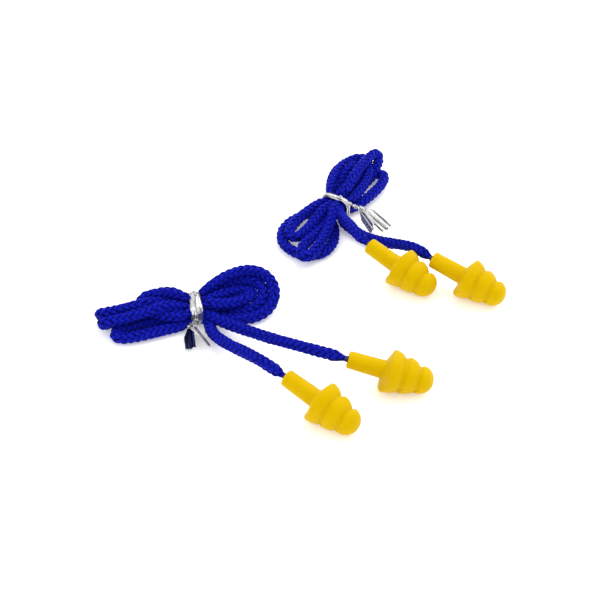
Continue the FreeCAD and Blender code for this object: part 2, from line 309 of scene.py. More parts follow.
def makeElastomer():
    material, nodes, links, shader = newMaterial("yellowElastomer")
    tone = useUnevenTone(nodes, elastomer)
    links.new(tone.outputs["Color"], shader.inputs["Base Color"])
    addRoughness(nodes, links, shader, tone.outputs["Patches"], elastomer)
    addBump(nodes, links, shader, tone.outputs["Grain"], elastomer)
    shader.inputs["Subsurface Weight"].default_value = elastomer["scatter"]
    shader.inputs["Subsurface Radius"].default_value = elastomer["scatterColours"]
    shader.inputs["Subsurface Scale"].default_value = elastomer["scatterReach"]
    shader.inputs["Specular IOR Level"].default_value = elastomer["highlight"]
    shader.inputs["Specular Tint"].default_value = elastomer["highlightTint"]
    return material


# braided cord yarn
# the lit tone is painted light on strand tops, the deep tone painted shade where strands pass under
# and face inward; filament noise mixes in between
yarnFinish = {
    "lit": (0.0095, 0.0160, 0.55, 1),
    "deep": (0.0004, 0.0002, 0.012, 1),
    "fineness": 7.0,
    "roughness": (0.70, 0.50),
    "bump": (0.6, 0.00010),
    "highlight": 0.08,
    "highlightTint": (0.06, 0.10, 1.0, 1),
}


def makeYarn():
    material, nodes, links, shader = newMaterial("blueYarn")
    yarn = useGroup(nodes, yarnFilaments, Lit_Tone=yarnFinish["lit"], Deep_Tone=yarnFinish["deep"],
                    Fineness=yarnFinish["fineness"])
    links.new(yarn.outputs["Color"], shader.inputs["Base Color"])
    addRoughness(nodes, links, shader, yarn.outputs["Filaments"], yarnFinish)
    addBump(nodes, links, shader, yarn.outputs["Filaments"], yarnFinish)
    shader.inputs["Specular IOR Level"].default_value = yarnFinish["highlight"]
    shader.inputs["Specular Tint"].default_value = yarnFinish["highlightTint"]
    return material


# yarn melted hard at the cord's ends
fusedFinish = {
    "light": (0.050, 0.055, 0.14, 1),
    "dark": (0.008, 0.009, 0.06, 1),
    "patches": 900.0,
    "grains": 3000.0,
    "contrast": 1.5,
    "roughness": (0.25, 0.5),
    "bump": (0.5, 0.0002),
    "highlight": 0.3,
}


def makeFusedYarn():
    material, nodes, links, shader = newMaterial("fusedYarn")
    tone = useUnevenTone(nodes, fusedFinish)
    links.new(tone.outputs["Color"], shader.inputs["Base Color"])
    addRoughness(nodes, links, shader, tone.outputs["Patches"], fusedFinish)
    addBump(nodes, links, shader, tone.outputs["Patches"], fusedFinish)
    shader.inputs["Specular IOR Level"].default_value = fusedFinish["highlight"]
    return material


# tie: metallised film, its reflections painted in as light and dark streaks, and wire
filmFinish = {
    "bright": (0.66, 0.66, 0.67, 1),
    "dark": (0.040, 0.032, 0.027, 1),
    "darkShare": 0.46,
    "reflectionBright": (0.030, 0.045, 0.20, 1),  # painted reflection: the tail that faces the cord has the cord's blue painted into its colour
    "reflectionDark": (0.004, 0.005, 0.040, 1),
    "reflectionShare": 0.55,
    "streakScale": 1.0,
    "roughness": (0.10, 0.34),
    "bump": (0.5, 0.00020),
    "metallic": 0.9,
}


def makeFilm(name, bright, dark, darkShare):
    material, nodes, links, shader = newMaterial(name)
    streaks = useGroup(nodes, filmStreaks, Light_Tone=bright, Dark_Tone=dark,
                       Streak_Scale=filmFinish["streakScale"], Dark_Share=darkShare)
    links.new(streaks.outputs["Color"], shader.inputs["Base Color"])
    addRoughness(nodes, links, shader, streaks.outputs["Streaks"], filmFinish)
    addBump(nodes, links, shader, streaks.outputs["Streaks"], filmFinish)
    shader.inputs["Metallic"].default_value = filmFinish["metallic"]
    return material


wireFinish = {
    "light": (0.10, 0.10, 0.10, 1),
    "dark": (0.02, 0.02, 0.02, 1),
    "patches": 1500.0,
    "grains": 9000.0,
    "contrast": 0.9,
    "roughness": (0.25, 0.5),
}


def makeWire():
    material, nodes, links, shader = newMaterial("tieWire")
    tone = useUnevenTone(nodes, wireFinish)
    links.new(tone.outputs["Color"], shader.inputs["Base Color"])
    addRoughness(nodes, links, shader, tone.outputs["Grain"], wireFinish)
    shader.inputs["Metallic"].default_value = 1.0
    return material


materials = {
    "plug": makeElastomer(),
    "yarn": makeYarn(),
    "fused": makeFusedYarn(),
    "film": makeFilm("silverFilm", filmFinish["bright"], filmFinish["dark"],
                     filmFinish["darkShare"]),
    # painted reflection of the blue cord, for the tail that faces it
    "cordReflectionFilm": makeFilm("cordReflectionFilm", filmFinish["reflectionBright"], filmFinish["reflectionDark"],
                           filmFinish["reflectionShare"]),
    "wire": makeWire(),
}
print("materials ready:", ", ".join(materials))

# the two braided cords
braid = {
    "diameter": 0.0034,
    "pitch": 0.0112,  # one full turn of a strand
    "strandsEachWay": 6,
    "middleRadius": 0.00103,
    "weaveDepth": 0.00035,
    "strandWidth": 0.00124,
    "strandThickness": 0.00088,
    "ringPoints": 8,
    "step": 0.00030,
    "neckLength": 0.0040,
    "bendLength": 0.0052,  # only this much of the cord would bend when a plug swings
    "neckShare": 0.46,  # how thin the fused neck is
    "pinchShare": 0.62,  # how narrow the tie squeezes each run, and how flat
    "pinchFlat": 0.82,
    "pinchHalf": 0.0022,
    "pinchEnd": 0.0060,
    "pinchHeight": 0.004,  # of the waist's middle, and how far round it the runs are squeezed
    "pinchReach": 0.008,
    "neckStart": 0.0006,
    "leadSearch": 0.08,  # a lead ends within this length of its plug
    "insideHank": 0.009,  # and its piece runs on this far into the hank
    "wander": (90, 1.2),  # how often per metre and how strongly the whole braid twists,
    "drift": (210, 0.16),  # a strand shifts sideways,
    "swell": (330, 0.16),  # and a strand swells
    "filamentStretch": 0.22,  # the yarn's own coordinates: along, over and across a strand
    "filamentsAcross": (0.9, 1.1),
    "filamentShift": 5,  # and from strand to strand
    "crown": (0.75, -0.08),  # painted light and shade: how much lighter a strand is painted where it lies on top, and darker where it lies under
}

# where each run passes through the tie, across and up
slots = {}
for slotNames, height in (("abcd", 0.0056), ("efgh", 0.00245)):
    for slotName, across in zip(slotNames, (-0.00315, -0.00105, 0.00105, 0.00315)):
        slots[slotName] = (across, height)

# leads run from the hank to the plug; loops in metres and degrees, in the tie's own frame
hanks = {
    "front": {
        "tie": (-0.0591, 0.0123),
        "heading": 10.0,
        "firstLead": "right",
        "lastLead": "left",
        "leadSide": 1,
        "leads": {
            "right": [(-0.0566, 0.0108, 0.0042), (-0.0521, 0.0072, 0.0037),
                      (-0.0456, 0.0034, 0.0041), (-0.0376, -0.0020, 0.0058),
                      (-0.0301, -0.0072, 0.0080), (-0.0228, -0.0116, 0.0097)],
            "left": [(-0.0550, 0.0096, 0.0019), (-0.0542, 0.0036, 0.0024),
                     (-0.0502, -0.0024, 0.0042), (-0.0446, -0.0088, 0.0070),
                     (-0.0381, -0.0158, 0.0096)],
        },
        "mouths": {"right": (-0.0147, -0.0139), "left": (-0.0320, -0.0209)},
        "slots": "acbghdfe",
        "loops": [
            {"reach": 0.0158, "sway": 0.0034, "half": -0.0024, "lift": 0.0052, "tilt": 12},
            {"reach": 0.0178, "sway": 0.0032, "half": 0.0030, "lift": 0.0042, "tilt": -5},
            {"reach": 0.0276, "sway": -0.0016, "half": -0.0018, "lift": 0.0036, "tilt": -43},
            {"reach": 0.0212, "sway": 0.0026, "half": -0.0050, "lift": 0.0052, "tilt": 19},
            {"reach": 0.0280, "sway": 0.0018, "half": 0.0018, "lift": 0.0038, "tilt": -43},
            {"reach": 0.0235, "sway": 0.0024, "half": 0.0070, "lift": 0.0055, "tilt": 30},
            {"reach": 0.0243, "sway": -0.0052, "half": 0.0023, "lift": 0.0019, "tilt": 0},
        ],
    },
    "back": {
        "tie": (-0.0165, 0.0606),
        "heading": 60.0,
        "firstLead": "left",
        "lastLead": "right",
        "leadSide": -1,
        "leads": {
            "left": [(-0.0158, 0.0569, 0.0050), (-0.0150, 0.0518, 0.0064),
                     (-0.0126, 0.0460, 0.0082), (-0.0108, 0.0402, 0.0095)],
            "right": [(-0.0156, 0.0563, 0.0019), (-0.0116, 0.0514, 0.0018),
                      (-0.0070, 0.0468, 0.0020), (-0.0020, 0.0424, 0.0038),
                      (0.0028, 0.0388, 0.0062), (0.0077, 0.0342, 0.0087)],
        },
        "mouths": {"left": (-0.0069, 0.0352), "right": (0.0120, 0.0288)},
        "slots": "adchgbfe",
        "loops": [
            {"reach": 0.0262, "sway": 0.0030, "half": -0.0042, "lift": 0.0040, "tilt": 8},
            {"reach": 0.0208, "sway": 0.0040, "half": 0.0027, "lift": 0.0042, "tilt": 10},
            {"reach": 0.0185, "sway": 0.0028, "half": -0.0024, "lift": 0.0066, "tilt": 0},
            {"reach": 0.0246, "sway": 0.0008, "half": 0.0082, "lift": 0.0021, "tilt": 2},
            {"reach": 0.0282, "sway": 0.0002, "half": -0.0019, "lift": 0.0054, "tilt": 70},
            {"reach": 0.0270, "sway": -0.0034, "half": -0.0022, "lift": 0.0034, "tilt": 10},
            {"reach": 0.0240, "sway": -0.0034, "half": 0.0040, "lift": 0.0032, "tilt": -8},
        ],
    },
}

hankWinding = {
    "pointsPerLoop": 22,
    "fullness": 0.4,  # higher keeps a loop narrow near the tie
    "widest": 0.8,  # the bare curve's widest, about, which "half" is measured by
    "rounds": 260,
    "apart": 0.0034,
    "skipped": 2,  # neighbours along the cord that don't push each other
    "push": 0.22,
    "hold": 0.02,
    "stiffness": 0.2,
    "lowest": 0.00180,
    "smoothness": 12,
}

mouthHeight = 0.008778  # of every stem's mouth, with the first two rims on the surface


def tieFrame(hank):
    turn = Matrix.Rotation(math.radians(hank["heading"]), 4, "Z")
    return Matrix.Translation((*hank["tie"], 0.0)) @ turn


def loopPoints(loop, side, out, back):
    # one loop of the hank, from its slot at the tie round to the next slot
    count = hankWinding["pointsPerLoop"]
    start = braid["pinchHalf"]
    tilt = math.radians(loop["tilt"])
    points = []
    for k in range(count + 1):
        share = k / count
        turn = 2 * math.pi * share
        far = (1 - math.cos(turn)) / 2
        belly = math.sin(turn) * far ** hankWinding["fullness"] / hankWinding["widest"]
        wide = loop["half"] * belly
        across = (out[0] + (back[0] - out[0]) * share) * (1 - far) + loop["sway"] * far
        up = (out[1] + (back[1] - out[1]) * share) * (1 - far) + loop["lift"] * far
        points.append((side * (start + (loop["reach"] - start) * far),
                       across + wide * math.cos(tilt), up + wide * math.sin(tilt)))
    return points


def settle(points, free):
    # runs that lie in each other push apart, while each loop keeps its shape above the floor
    index = np.arange(len(points))
    separate = np.abs(index[:, None] - index[None, :]) > hankWinding["skipped"]
    place = points.copy()
    movable = free[:, None]
    for _ in range(hankWinding["rounds"]):
        gap = place[:, None] - place[None, :]
        distance = np.linalg.norm(gap, axis=2) + 1e-9
        lack = np.where(separate, np.clip(hankWinding["apart"] - distance, 0, None), 0)
        push = (gap / distance[..., None] * lack[..., None]).sum(axis=1) * hankWinding["push"]
        drift = place - points
        even = np.zeros_like(drift)
        even[1:-1] = (drift[:-2] + drift[2:]) / 2 - drift[1:-1]
        step = push + even * hankWinding["stiffness"] - drift * hankWinding["hold"]
        place = place + step * movable
        raised = np.maximum(place[:, 2], hankWinding["lowest"])
        place[:, 2] = np.where(free > 0, raised, place[:, 2])
    return place


def cordRoute(hank):
    # the whole cord, plug to plug: lead, loops on each side of the tie in turn, lead
    toWorld = tieFrame(hank)
    first = [Vector((*hank["mouths"][hank["firstLead"]], mouthHeight))]
    first += [Vector(p) for p in reversed(hank["leads"][hank["firstLead"]])]
    last = [Vector(p) for p in hank["leads"][hank["lastLead"]]]
    last += [Vector((*hank["mouths"][hank["lastLead"]], mouthHeight))]
    middle = []
    side = -hank["leadSide"]
    order = hank["slots"]
    for number, loop in enumerate(hank["loops"]):
        middle += loopPoints(loop, side, slots[order[number]], slots[order[number + 1]])
        side = -side
    middle = [toWorld @ Vector(p) for p in middle]
    route = np.array([list(p) for p in first + middle + last])
    free = np.ones(len(route))
    free[:len(first)] = 0
    free[-len(last):] = 0
    count = hankWinding["pointsPerLoop"] + 1
    for number in range(len(hank["loops"])):
        free[len(first) + number * count] = 0
        free[len(first) + (number + 1) * count - 1] = 0
    return settle(route, free)


def splinePoints(name, route):
    curve = bpy.data.curves.new(name, "CURVE")
    curve.dimensions = "3D"
    curve.resolution_u = hankWinding["smoothness"]
    spline = curve.splines.new("NURBS")
    spline.points.add(len(route) - 1)
    for point, place in zip(spline.points, route):
        point.co = (*place, 1.0)
    spline.order_u = 3
    spline.use_endpoint_u = True
    holder = bpy.data.objects.new(name, curve)
    mesh = bpy.data.meshes.new_from_object(holder)
    line = np.array([v.co for v in mesh.vertices], float)
    bpy.data.meshes.remove(mesh)
    bpy.data.objects.remove(holder)
    bpy.data.curves.remove(curve)
    return line


def evenly(line, step):
    lengths = np.linalg.norm(np.diff(line, axis=0), axis=1)
    along = np.concatenate([[0], np.cumsum(lengths)])
    count = int(along[-1] / step) + 1
    at = np.linspace(0, along[-1], count)
    return np.stack([np.interp(at, along, line[:, k]) for k in range(3)], axis=1), at


def carriedFrame(line):
    # a frame that follows the cord without spinning about it
    ahead = unitRows(np.gradient(line, axis=0))
    side = np.zeros_like(line)
    now = np.cross(ahead[0], (0, 0, 1.0))
    now /= np.linalg.norm(now)
    for k, direction in enumerate(ahead):
        now = now - direction * now.dot(direction)
        now /= np.linalg.norm(now)
        side[k] = now
    return ahead, side, np.cross(ahead, side)


def unevenAlong(along, kind, across, deep):
    # smooth noise along the cord, as often and as strong as the braid's values say
    often, strength = braid[kind]
    return strength * np.array([noise.noise(Vector((s * often, across, deep))) for s in along])


def braidRings(line, along):
    # each strand weaves two over, two under, and is a flattened ring of points at each step
    side, up = carriedFrame(line)[1:]
    ends = np.minimum(along, along[-1] - along)
    full = smoothStep(ends, braid["neckStart"], braid["neckLength"])
    thin = braid["neckShare"] + (1 - braid["neckShare"]) * full
    strands = []
    around = ringAngles(braid["ringPoints"])
    wander = unevenAlong(along, "wander", 3.1, 7.7)
    count = braid["strandsEachWay"]
    for way in (1, -1):
        for number in range(count):
            turn = way * 2 * math.pi * along / braid["pitch"] + number * 2 * math.pi / count
            turn = turn + (math.pi / count if way < 0 else 0)
            over = way * np.sin(turn * count / 2)
            seed = number + (10 if way < 0 else 0)
            turn = turn + wander + unevenAlong(along, "drift", seed * 2.9, 5.3)
            radius = (braid["middleRadius"] + braid["weaveDepth"] * over) * thin
            outward = side * np.cos(turn)[:, None] + up * np.sin(turn)[:, None]
            centre = line + outward * radius[:, None]
            travel = unitRows(np.gradient(centre, axis=0))
            normal = unitRows(outward - travel * (outward * travel).sum(1)[:, None])
            across = np.cross(travel, normal)
            swell = 1 + unevenAlong(along, "swell", seed * 3.7, 1.3)
            wide = braid["strandWidth"] / 2 * thin * swell
            thick = braid["strandThickness"] / 2 * thin * swell
            rings = (centre[:, None]
                     + normal[:, None] * (thick[:, None] * np.cos(around))[..., None]
                     + across[:, None] * (wide[:, None] * np.sin(around))[..., None])
            strands.append((rings, seed, over, around))
    return strands


def pinch(points, centres, hank):
    # the tie squeezes the runs narrower where they pass through it
    toTie = tieFrame(hank).inverted()
    turn = np.array(toTie.to_3x3())
    shift = np.array(toTie.translation)
    local = centres @ turn.T + shift
    far = np.abs(local[:, 0])
    fromWaist = np.hypot(local[:, 1], local[:, 2] - braid["pinchHeight"])
    near = (fromWaist < braid["pinchReach"]) & (far < braid["pinchEnd"])
    free = np.where(near, smoothStep(far, braid["pinchHalf"], braid["pinchEnd"]), 1.0)
    share = braid["pinchShare"] + (1 - braid["pinchShare"]) * free
    flat = braid["pinchFlat"] + (1 - braid["pinchFlat"]) * free
    offset = points - centres[:, None]
    moved = points
    for direction, amount in ((turn[1], share), (turn[2], flat)):
        moved = moved + ((offset @ direction) * (amount - 1)[:, None])[..., None] * direction
    return moved


def braidPiece(name, strands, centres, along, first, last, hank):
    points, faces, yarn, lift = [], [], [], []
    ring = braid["ringPoints"]
    count = last - first
    high, wide = braid["filamentsAcross"]
    gain, base = braid["crown"]
    for rings, seed, over, around in strands:
        part = pinch(rings[first:last], centres[first:last], hank)
        start = len(points) * count * ring
        points.append(part.reshape(-1, 3))
        faces += ringFaces(count, ring, start) + endCaps(count, ring, start)
        length = np.repeat(along[first:last] / mm, ring) * braid["filamentStretch"]
        about = np.tile(around, count)
        yarn.append(np.stack([length, np.cos(about) * high + seed * braid["filamentShift"],
                              np.sin(about) * wide], axis=1))
        # painted shade: a strand is coloured darker on its inner face and where it passes under,
        # lighter where it lies on top
        crown = np.clip(np.cos(about), 0, 1) * np.repeat(over[first:last] * 0.5 + 0.5, ring)
        lift.append(gain * crown + base)
    piece = addPiece(name, np.concatenate(points), faces, materials["yarn"])
    grain = piece.data.attributes.new("yarn", "FLOAT_VECTOR", "POINT")
    grain.data.foreach_set("vector", np.concatenate(yarn).astype(np.float32).ravel())
    height = piece.data.attributes.new("yarnCrownShade", "FLOAT", "POINT")
    height.data.foreach_set("value", np.concatenate(lift).astype(np.float32))
    return piece


# melted yarn just outside each stem's mouth
fusedTip = {
    "behind": 0.0011,
    "ahead": 0.0006,
    "radius": 0.00088,
    "rough": 0.00018,
    "lumps": 1500.0,  # per metre
    "endRound": (0.08, 0.84, 0.35),  # start and span of the rounding arc, and how blunt it is
    "rings": 12,
    "around": 18,
}


def makeFusedTip(label, before, mouth):
    ahead = (mouth - before).normalized()
    side = ahead.cross(Vector((0, 0, 1))).normalized()
    up = side.cross(ahead)
    points = []
    rings, size = fusedTip["rings"], fusedTip["around"]
    arcStart, arcSpan, blunt = fusedTip["endRound"]
    for share in np.linspace(0, 1, rings):
        along = -fusedTip["behind"] + (fusedTip["behind"] + fusedTip["ahead"]) * share
        rounding = math.sin(math.pi * (arcStart + arcSpan * share)) ** blunt
        for angle in ringAngles(size):
            outward = side * math.cos(angle) + up * math.sin(angle)
            lump = noise.noise((mouth + outward * mm + ahead * along) * fusedTip["lumps"])
            points.append(mouth + ahead * along
                          + outward * (fusedTip["radius"] * rounding + fusedTip["rough"] * lump))
    faces = ringFaces(rings, size) + endCaps(rings, size)
    piece = addPiece(f"{label}_fused_tip", points, faces, materials["fused"])
    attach(piece, f"{label}_neck")
    return piece


def leadCut(line, along, leadPoints, inward):
    # the place where a lead's piece ends, a little way inside the hank
    near = along < braid["leadSearch"] if inward > 0 else along > along[-1] - braid["leadSearch"]
    away = np.linalg.norm(line - np.array(leadPoints[0]), axis=1)
    index = int(np.argmin(np.where(near, away, away.max() + 1)))
    return index + inward * int(braid["insideHank"] / braid["step"])


def makeCord(pairName, hank):
    line, along = evenly(splinePoints(f"{pairName}_route", cordRoute(hank)), braid["step"])
    strands = braidRings(line, along)
    firstCut = leadCut(line, along, hank["leads"][hank["firstLead"]], 1)
    lastCut = leadCut(line, along, hank["leads"][hank["lastLead"]], -1)
    spans = [
        (hank["firstLead"], 0, firstCut),
        (None, firstCut - 1, lastCut + 1),
        (hank["lastLead"], lastCut, len(line)),
    ]
    for plug, first, last in spans:
        if plug is None:
            name = f"{pairName}_cord_hank"
            piece = braidPiece(name, strands, line, along, first, last, hank)
            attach(piece, f"{pairName}_hank")
            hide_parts(f"{pairName}_hank_left_lobe", f"{pairName}_hank_right_lobe")
        else:
            name = f"{pairName}_cord_{plug}"
            piece = braidPiece(name, strands, line, along, first, last, hank)
            mouth = Vector((*hank["mouths"][plug], mouthHeight))
            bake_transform(piece)
            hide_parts(f"{pairName}_{plug}_cord_lead")
            tip = makeFusedTip(f"{pairName}_{plug}", Vector(hank["leads"][plug][-1]), mouth)


for pairName, hank in hanks.items():
    makeCord(pairName, hank)

# moulded plugs, turned about their axis, lengths along it from the stem's mouth
plugShape = {
    "noseDown": 12.01,
    "headings": {"front_right": -10.6, "front_left": -36.5,
                 "back_left": -38.3, "back_right": -30.4},
    "stem": [(0.0, 0.0021), (0.00012, 0.00238), (0.0004, 0.0025), (0.0104, 0.0027)],
    "bore": [(0.0086, 0.00001), (0.0086, 0.0005), (0.0086, 0.0010), (0.0009, 0.0010),
             (0.0, 0.0018)],
    # back cone, rim radius, slope and root radius of each flange; the last one ends in the nose
    "flanges": [(0.0019, 0.00635, 0.0035, 0.0047), (0.0012, 0.00535, 0.0033, 0.00355),
                (0.0010, 0.00408, 0.0035, 0.0)],
    "rimRound": 0.00034,
    "rimArc": (165, 60, 88),  # degrees: where a rim's arc starts, ends, and ends before the nose
    "noseArc": (4, 89.5),
    "bulge": 0.00075,
    "pressedBack": 0.0009,  # the rims that lie on the surface fold back and round off
    "pressedRound": 0.0013,
    "pressedAbove": 0.85,  # fully pressed where the surface faces the floor by more than this
    "soften": 3,
    "rimPoints": 12,
    "slopePoints": 16,
    "nosePoints": 40,
    "outerPoints": 230,
    "around": 120,
    "seam": 0.00005,
    "seamWidth": 0.00012,
    "seamStart": 4,  # rings past the mouth
    "unevenness": 0.00007,
    "unevenPatches": 170.0,  # per metre
    "stemCore": 0.002,  # no unevenness inside this radius
}


def plugProfile(press):
    # outline from the stem's mouth to the nose, for rims pressed by a share
    points = [np.array(p) for p in plugShape["stem"]]
    rounding = plugShape["rimRound"] + (plugShape["pressedRound"] - plugShape["rimRound"]) * press
    arcStart, arcEnd, lastArcEnd = plugShape["rimArc"]
    for back, rim, slope, root in plugShape["flanges"]:
        start = points[-1]
        isNose = root == 0.0
        centre = np.array([start[0] + back - plugShape["pressedBack"] * press, rim - rounding])
        front = np.array([start[0] + back + slope, root])
        arc = np.linspace(arcStart, lastArcEnd if isNose else arcEnd, plugShape["rimPoints"])
        for angle in np.radians(arc):
            points.append(centre + rounding * np.array([math.cos(angle), math.sin(angle)]))
        rimEnd = points[-1]
        if isNose:
            for angle in np.radians(np.linspace(*plugShape["noseArc"], plugShape["nosePoints"])):
                along = rimEnd[0] + (front[0] - rimEnd[0]) * math.sin(angle)
                points.append(np.array([along, rimEnd[1] * math.cos(angle)]))
        else:
            travel = (front - rimEnd) / np.linalg.norm(front - rimEnd)
            bow = (rimEnd + front) / 2 + np.array([-travel[1], travel[0]]) * plugShape["bulge"]
            for t in np.linspace(0.06, 1, plugShape["slopePoints"]):
                points.append((1 - t) ** 2 * rimEnd + 2 * t * (1 - t) * bow + t * t * front)
    points = np.array(points)
    lengths = np.concatenate([[0], np.cumsum(np.linalg.norm(np.diff(points, axis=0), axis=1))])
    at = np.linspace(0, lengths[-1], plugShape["outerPoints"])
    points = np.stack([np.interp(at, lengths, points[:, k]) for k in range(2)], axis=1)
    for _ in range(plugShape["soften"]):
        points[1:-1] = (points[:-2] + points[2:] + points[1:-1] * 2) / 4
    return points


def makePlug(label, mouth):
    heading = math.radians(plugShape["headings"][label])
    down = math.radians(plugShape["noseDown"])
    ahead = np.array([math.cos(heading) * math.cos(down), math.sin(heading) * math.cos(down),
                      -math.sin(down)])
    side = np.array([-math.sin(heading), math.cos(heading), 0.0])
    up = np.cross(ahead, side)
    angles = ringAngles(plugShape["around"])
    bore = np.array(plugShape["bore"])
    columns = []
    for angle in angles:
        press = float(smoothStep(math.cos(angle), 0.0, plugShape["pressedAbove"]))
        columns.append(np.concatenate([bore, plugProfile(press)]))
    profile = np.array(columns).transpose(1, 0, 2)
    along, out = profile[..., 0], profile[..., 1]
    fromSeam = np.abs(np.sin(angles + math.pi / 2))[None, :] * out
    outer = np.arange(len(profile))[:, None] >= len(bore) + plugShape["seamStart"]
    out = out + outer * plugShape["seam"] * np.exp(-(fromSeam / plugShape["seamWidth"]) ** 2)
    outward = np.sin(angles)[:, None] * side - np.cos(angles)[:, None] * up
    points = np.array(mouth) + along[..., None] * ahead + out[..., None] * outward[None]
    swell = [noise.noise(Vector(p * plugShape["unevenPatches"])) for p in points.reshape(-1, 3)]
    core = plugShape["stemCore"]
    reach = np.clip(out - core, 0, core) / core
    uneven = np.array(swell).reshape(out.shape) * plugShape["unevenness"] * reach
    points = points + outward[None] * uneven[..., None]
    rings, size = out.shape
    faces = ringFaces(rings, size) + endCaps(rings, size)
    piece = addPiece(f"{label}_moulded_plug", points.reshape(-1, 3), faces, materials["plug"])
    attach(piece, f"{label}_plug")
    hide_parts(f"{label}_plug")
    print(f"{piece.name}: {len(faces)} faces")


for pairName, hank in hanks.items():
    for plug, mouth in hank["mouths"].items():
        makePlug(f"{pairName}_{plug}", (*mouth, mouthHeight))

# metallised ties: a creased band round the waist, a twist and two tails
ties = {
    "halfWidth": 0.00445,
    "low": 0.00062,
    "high": 0.00745,
    "corner": 0.0021,
    "width": 0.0036,
    "thickness": 0.00012,
    "around": 84,
    "bandColumns": 9,
    "tailRows": 26,
    "tailColumns": 13,
    "twistRings": 34,
    "twistPoints": 14,
    "crumple": 0.00016,
    "inwardMost": -0.00004,  # the band's folds never go deeper than this
    "wireBulge": 0.00034,
    "wireBulgeHalf": 0.00036,
    "bandBulge": 0.00054,
    "bandBulgeHalf": 0.00085,
    "bandWander": 0.08,
    "bandFolds": (2.6, 0.7),  # folds across the strip and along it
    "tailFolds": (2.4, 150),
    "bandStreaks": (1.9, 0.30),  # painted reflection streaks across the strip and along it
    "twistStreaks": (1.1, 1.2),
    "tailStreaks": (2.6, 45),
    "bunched": {"front": 1.0, "back": 0.62},  # how wide the band stays
    "knots": {
        "front": {"along": -0.0010, "height": 0.0022, "heading": -125.0, "pitch": -2.0,
                  "length": 0.0018},
        "back": {"along": 0.0, "height": 0.0054, "heading": -8.0, "pitch": -8.0,
                 "length": 0.0042},
    },
    "tails": {
        # the near front tail wears the painted reflection of the cord
        "front_near": {"heading": -82.0, "pitch": -2.0, "roll": 35.0, "length": 0.0080,
                       "offset": -0.0007, "cut": 0.35, "film": "cordReflectionFilm"},
        "front_far": {"heading": -58.0, "pitch": -0.5, "roll": -60.0, "length": 0.0086,
                      "offset": 0.0009, "cut": -0.30, "film": "film"},
        "back_near": {"heading": -52.0, "pitch": -5.0, "roll": 20.0, "length": 0.0110,
                      "offset": 0.0009, "cut": 0.12, "film": "film"},
        "back_far": {"heading": -66.0, "pitch": -3.0, "roll": 70.0, "length": 0.0090,
                     "offset": -0.0008, "cut": -0.25, "film": "film"},
    },
    "reach": 0.0045,  # from the tie's middle to where the twist starts
    "tailGap": 0.0011,
    "tailTaper": 0.0022,
    "tailRoot": 0.0010,
    "tailCrease": 0.00018,
    "tailShort": 0.0001,  # the film ends this much before the wire's solid does
    "cornerCut": 0.0018,
    "endBow": 0.00022,
    "twistTurns": 2.4,
    "twistHalf": (0.00092, 0.00050),
    "twistBend": (0.0002, 0.0, 0.0006),  # from where the twist leaves the waist
    "twistPast": 0.0008,
    # where the twist starts on the band, in the tie's own frame
    "twistStart": {"front": (0.0, -0.00475, 0.0046), "back": (0.0, -0.0010, 0.0079)},
}


def crumple(*place):
    # folded foil: sharp ridges between flatter patches
    value = noise.noise(Vector(place))
    fine = noise.noise(Vector(place) * 2.3 + Vector((9.1, 4.2, 7.7)))
    return abs(value) * 1.4 - 0.35 + fine * 0.45


def bandOutline():
    # even points round the waist, across and up, with their outward directions
    corner = ties["corner"]
    half = ties["halfWidth"] - corner
    low, high = ties["low"] + corner, ties["high"] - corner
    points = []
    corners = ((half, low, -90), (half, high, 0), (-half, high, 90), (-half, low, 180))
    for across, up, turn in corners:
        for angle in np.radians(np.linspace(turn, turn + 90, 10)):
            points.append((across + corner * math.cos(angle), up + corner * math.sin(angle)))
    points.append(points[0])
    line, _ = evenly(np.array([(*p, 0.0) for p in points]), 0.00001)
    picks = np.linspace(0, len(line) - 1, ties["around"] + 1)[:-1].astype(int)
    ahead = np.roll(line, -40, axis=0) - np.roll(line, 40, axis=0)
    outward = np.stack([ahead[:, 1], -ahead[:, 0]], axis=1)
    outward /= np.linalg.norm(outward, axis=1)[:, None] + 1e-12
    return line[picks, :2], outward[picks]


def stripOrder(columns):
    # once over the outside of a strip and back along its inside
    return [(0, k) for k in range(columns)] + [(1, k) for k in reversed(range(columns))]


def addFoil(pairName, ending, replaced, body, points, faces, places, material, smooth=True):
    piece = addPiece(f"{pairName}_tie_foil_{ending}", points, faces, material, smooth)
    film = piece.data.attributes.new("film", "FLOAT_VECTOR", "POINT")
    film.data.foreach_set("vector", np.array(places, dtype=np.float32).ravel())
    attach(piece, body)
    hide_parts(replaced)


def makeBand(pairName, hank, seed):
    outline, outward = bandOutline()
    toWorld = tieFrame(hank)
    columns = ties["bandColumns"]
    half = ties["width"] / 2 * ties["bunched"][pairName]
    folds, foldsAlong = ties["bandFolds"]
    streaks, streaksAlong = ties["bandStreaks"]
    points, places = [], []
    for place, direction, turn in zip(outline, outward, ringAngles(len(outline))):
        east, north = math.cos(turn) * 2.6, math.sin(turn) * 2.6
        wobble = noise.noise(Vector((east * 0.9, north * 0.9, seed)))
        width = half * (1 + ties["bandWander"] * wobble)
        for inside, k in stripOrder(columns):
            share = k / (columns - 1) * 2 - 1
            ridge = crumple(share * folds, east * foldsAlong + seed, north * foldsAlong)
            rib = ties["bandBulge"] * math.exp(-(share * width / ties["bandBulgeHalf"]) ** 2)
            fold = max(ties["crumple"] * ridge, ties["inwardMost"])
            reach = fold + rib - inside * ties["thickness"]
            points.append(toWorld @ Vector((share * width, *(place + direction * reach))))
            places.append((share * streaks + seed, east * streaksAlong, north * streaksAlong))
    faces = ringFaces(len(outline), columns * 2, closed=True)
    addFoil(pairName, "band", f"{pairName}_tie_band", f"{pairName}_hank", points, faces, places,
            materials["film"])


